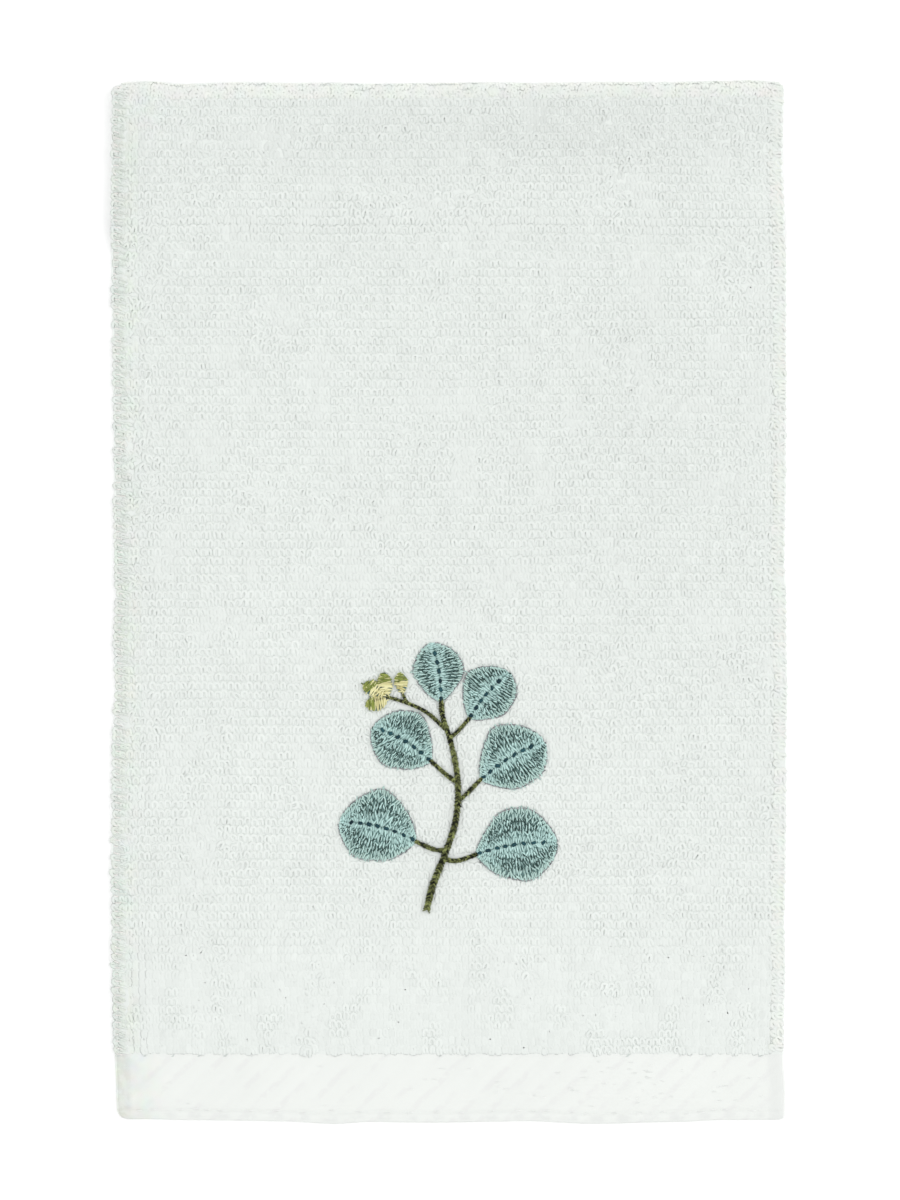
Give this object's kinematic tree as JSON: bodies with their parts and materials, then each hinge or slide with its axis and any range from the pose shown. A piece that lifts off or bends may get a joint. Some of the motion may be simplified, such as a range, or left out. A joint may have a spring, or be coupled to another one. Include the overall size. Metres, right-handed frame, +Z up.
{
  "type": "hand towel",
  "caption": "Terry hand towel lying face up, its top end folded under, with a smooth diagonally ribbed band at the hem and an embroidered sprig.",
  "frame": {"origin": "on the surface that the towel lies on, at the middle of its footprint", "axes": "+X across the towel to the right of the face, +Y along it from the hem that shows to the fold, +Z up out of the face"},
  "size_m": [0.4088, 0.631, 0.0084],
  "materials": {
    "terry": "matt looped cotton pile, pale mint, with a smooth whiter woven band",
    "embroidery_thread": "satin stitch in pale blue-green, teal, olive and yellow-green thread"
  },
  "bodies": {
    "root": {"towel": "terry"}
  },
  "joints": []
}
